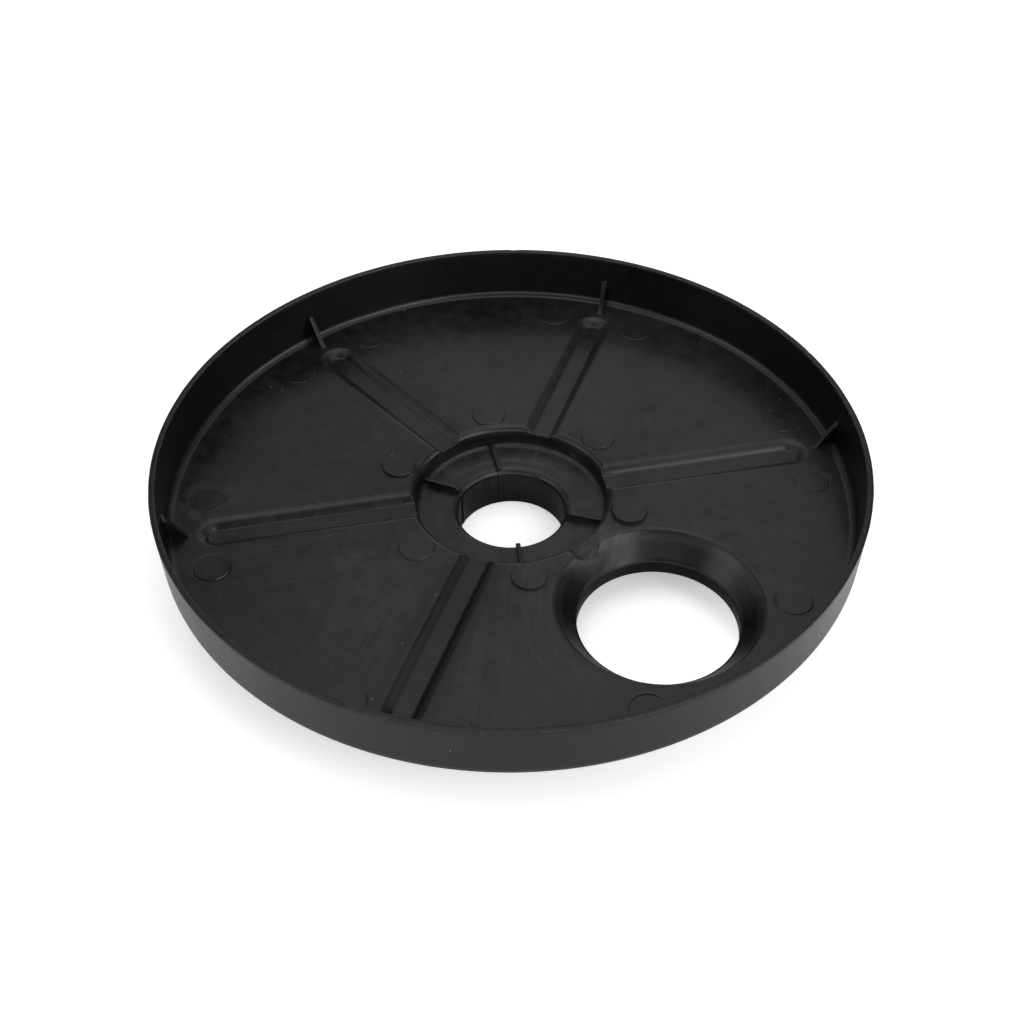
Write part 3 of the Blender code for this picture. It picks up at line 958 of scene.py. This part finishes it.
def stage():
    """Plain floor: bright where the camera sees it, greyer in reflections, and darker under the part
    as a painted shadow.
    """
    data = bpy.data.meshes.new("floor")
    half = 6.0
    corners = [(-half, -half, 0), (half, -half, 0), (half, half, 0), (-half, half, 0)]
    data.from_pydata(corners, [], [(0, 1, 2, 3)])
    floor = bpy.data.objects.new("floor", data)
    floor.location.z = CAD_LOW[2] - 0.0002
    bpy.context.scene.collection.objects.link(floor)
    material = bpy.data.materials.new("floor")
    n = Nodes(material)
    from_axis = n.vector("LENGTH", n.at, (0, 0, 0))
    # Darker floor colour under the part: a painted shadow.
    n.join(n.ramp(from_axis, 0.12, 0.175, 0.30, 0.82), n.shader.inputs["Base Color"])
    n.shader.inputs["Roughness"].default_value = 0.9
    bright = n.add("BsdfPrincipled")
    bright.inputs["Base Color"].default_value = (0.9, 0.9, 0.9, 1)
    bright.inputs["Roughness"].default_value = 0.9
    bright.inputs["Emission Color"].default_value = (1, 1, 1, 1)
    bright.inputs["Emission Strength"].default_value = 0.35
    mix = n.add("MixShader")
    n.join(n.add("LightPath").outputs["Is Camera Ray"], mix.inputs["Fac"])
    n.join(n.shader.outputs["BSDF"], mix.inputs[1])
    n.join(bright.outputs["BSDF"], mix.inputs[2])
    n.join(mix.outputs["Shader"], n.tree.nodes["Material Output"].inputs["Surface"])
    data.materials.append(material)


def lamp(name, azimuth, elevation, wide, high, radiance, colour=(1, 1, 1), away=2.0):
    """Soft panel seen from the part at a direction, with its angular size and radiance."""
    data = bpy.data.lights.new(name, "AREA")
    data.shape = "RECTANGLE"
    data.size = 2 * away * math.tan(radians(wide / 2))
    data.size_y = 2 * away * math.tan(radians(high / 2))
    data.energy = radiance * math.pi * data.size * data.size_y
    data.color = colour
    made = bpy.data.objects.new(name, data)
    turn, flat = radians(azimuth), math.cos(radians(elevation))
    way = Vector((flat * math.cos(turn), flat * math.sin(turn), math.sin(radians(elevation))))
    made.location = way * away
    made.rotation_euler = way.to_track_quat("Z", "Y").to_euler()
    bpy.context.scene.collection.objects.link(made)


def studio():
    """A dim, even room with soft panels overhead and on every side, brightest on the right."""
    world = bpy.data.worlds.new("studio")
    bpy.context.scene.world = world
    world.use_nodes = True
    shade = world.node_tree.nodes["Background"]
    shade.inputs["Color"].default_value = (1, 1, 1, 1)
    shade.inputs["Strength"].default_value = 0.29
    lamp("zenith", 0, 90, 26, 26, 2.0)
    lamp("back_high", 88, 64, 42, 22, 1.35)
    lamp("back_middle", 84, 40, 38, 26, 0.42)
    lamp("back_low", 87, 14, 34, 22, 0.9)
    lamp("high_right", -6, 66, 36, 28, 0.8)
    lamp("right", 4, 38, 34, 24, 1.1)
    lamp("window", -47, 36, 26, 32, 4.4, (0.96, 0.975, 1.0))
    lamp("low_right", -14, 14, 42, 18, 5.5, (0.93, 0.95, 1.0), away=2.2)
    lamp("front_low", -90, 16, 80, 24, 2.75)
    lamp("left", -163, 24, 34, 26, 1.7)
    lamp("left_low", 175, 14, 60, 20, 0.8)
    lamp("left_middle", 178, 38, 44, 24, 0.55)
    lamp("left_high", 180, 62, 44, 34, 0.6)


def camera():
    """Camera in front of the part, looking down at it and rolled by half a degree."""
    data = bpy.data.cameras.new("camera")
    data.lens = 49.38
    data.sensor_width = 36.0
    data.clip_start = 0.01
    made = bpy.data.objects.new("camera", data)
    elevation = radians(43.48)
    roll = radians(-0.57)
    right = Vector((1, 0, 0))
    up = Vector((0, math.sin(elevation), math.cos(elevation)))
    back = Vector((0, -math.cos(elevation), math.sin(elevation)))
    side = math.cos(roll) * right + math.sin(roll) * up
    over = -math.sin(roll) * right + math.cos(roll) * up
    turn = Matrix((side, over, back)).transposed().to_4x4()
    place = Vector((0.00035, -0.44707, 0.43938 + CAD_LOW[2]))
    made.matrix_world = Matrix.Translation(place) @ turn
    bpy.context.scene.collection.objects.link(made)
    bpy.context.scene.camera = made


deck = moulding()
deck.data.materials.clear()
deck.data.materials.append(black_plastic())
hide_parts(NODE)
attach(deck, "root")
stage()
studio()
camera()
bpy.context.scene.view_settings.view_transform = "Standard"
